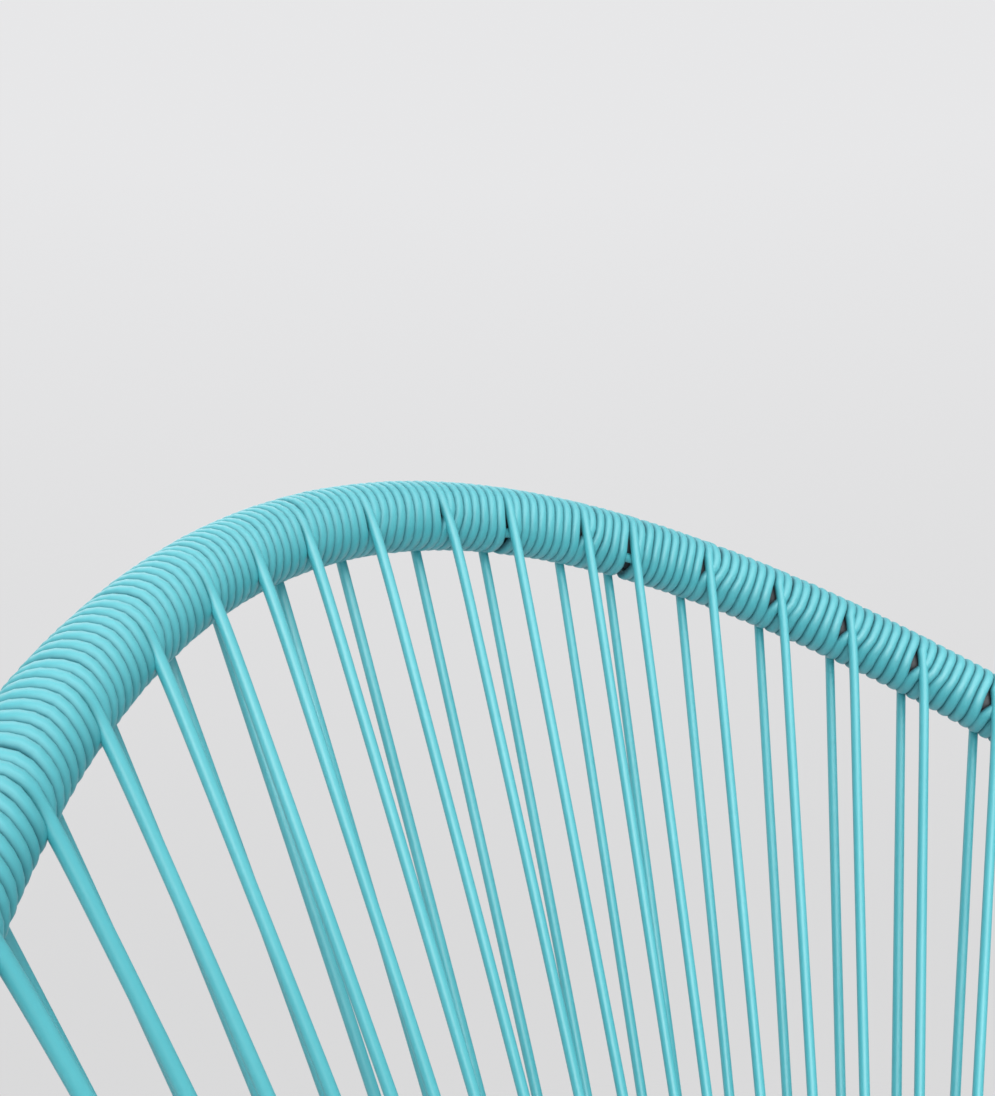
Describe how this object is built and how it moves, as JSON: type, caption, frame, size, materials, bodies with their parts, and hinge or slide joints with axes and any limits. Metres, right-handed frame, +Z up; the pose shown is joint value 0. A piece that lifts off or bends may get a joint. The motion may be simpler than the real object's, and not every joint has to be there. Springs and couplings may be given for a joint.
{
  "type": "acapulco chair",
  "caption": "Outdoor lounge chair with an egg-shaped bucket of PVC cord strung between a wound tubular rim and a small inner ring, on two bent-tube leg hoops.",
  "frame": {"origin": "on the floor, in the middle of the bounding box", "axes": "+Z up, -Y to the front of the chair (the sitter looks along -Y), +X to the right seen from the front"},
  "size_m": [0.7992, 0.7921, 0.9005],
  "materials": {
    "frame_steel": "satin black powder coat",
    "pvc_cord": "turquoise satin PVC",
    "zinc_hardware": "zinc plated",
    "black_plastic": "matte"
  },
  "bodies": {
    "root": {"rim_tube": "frame_steel", "inner_ring": "frame_steel", "cord_winding_top": "pvc_cord", "cord_span_01": "pvc_cord", "cord_span_02": "pvc_cord", "cord_span_03": "pvc_cord", "cord_span_04": "pvc_cord", "cord_span_05": "pvc_cord", "cord_span_06": "pvc_cord", "cord_span_07": "pvc_cord", "cord_span_08": "pvc_cord", "cord_span_09": "pvc_cord", "cord_span_10": "pvc_cord", "cord_span_11": "pvc_cord", "cord_span_12": "pvc_cord", "cord_span_13": "pvc_cord", "cord_span_14": "pvc_cord", "rim_tab_front_right": "frame_steel", "bolt_front_right": "zinc_hardware", "spacer_front_right": "black_plastic", "washer_front_right": "zinc_hardware", "nut_front_right": "zinc_hardware", "rim_tab_front_left": "frame_steel", "bolt_front_left": "zinc_hardware", "spacer_front_left": "black_plastic", "washer_front_left": "zinc_hardware", "nut_front_left": "zinc_hardware", "rim_tab_rear_right": "frame_steel", "bolt_rear_right": "zinc_hardware", "spacer_rear_right": "black_plastic", "washer_rear_right": "zinc_hardware", "nut_rear_right": "zinc_hardware", "rim_tab_rear_left": "frame_steel", "bolt_rear_left": "zinc_hardware", "spacer_rear_left": "black_plastic", "washer_rear_left": "zinc_hardware", "nut_rear_left": "zinc_hardware", "foot_cap_front_right": "black_plastic", "ring_gusset_front_right": "frame_steel", "foot_cap_front_left": "black_plastic", "ring_gusset_front_left": "frame_steel", "foot_cap_rear_right": "black_plastic", "ring_gusset_rear_right": "frame_steel", "foot_cap_rear_left": "black_plastic", "ring_gusset_rear_left": "frame_steel", "front_leg_hoop": "frame_steel", "rear_leg_hoop": "frame_steel"}
  },
  "joints": []
}
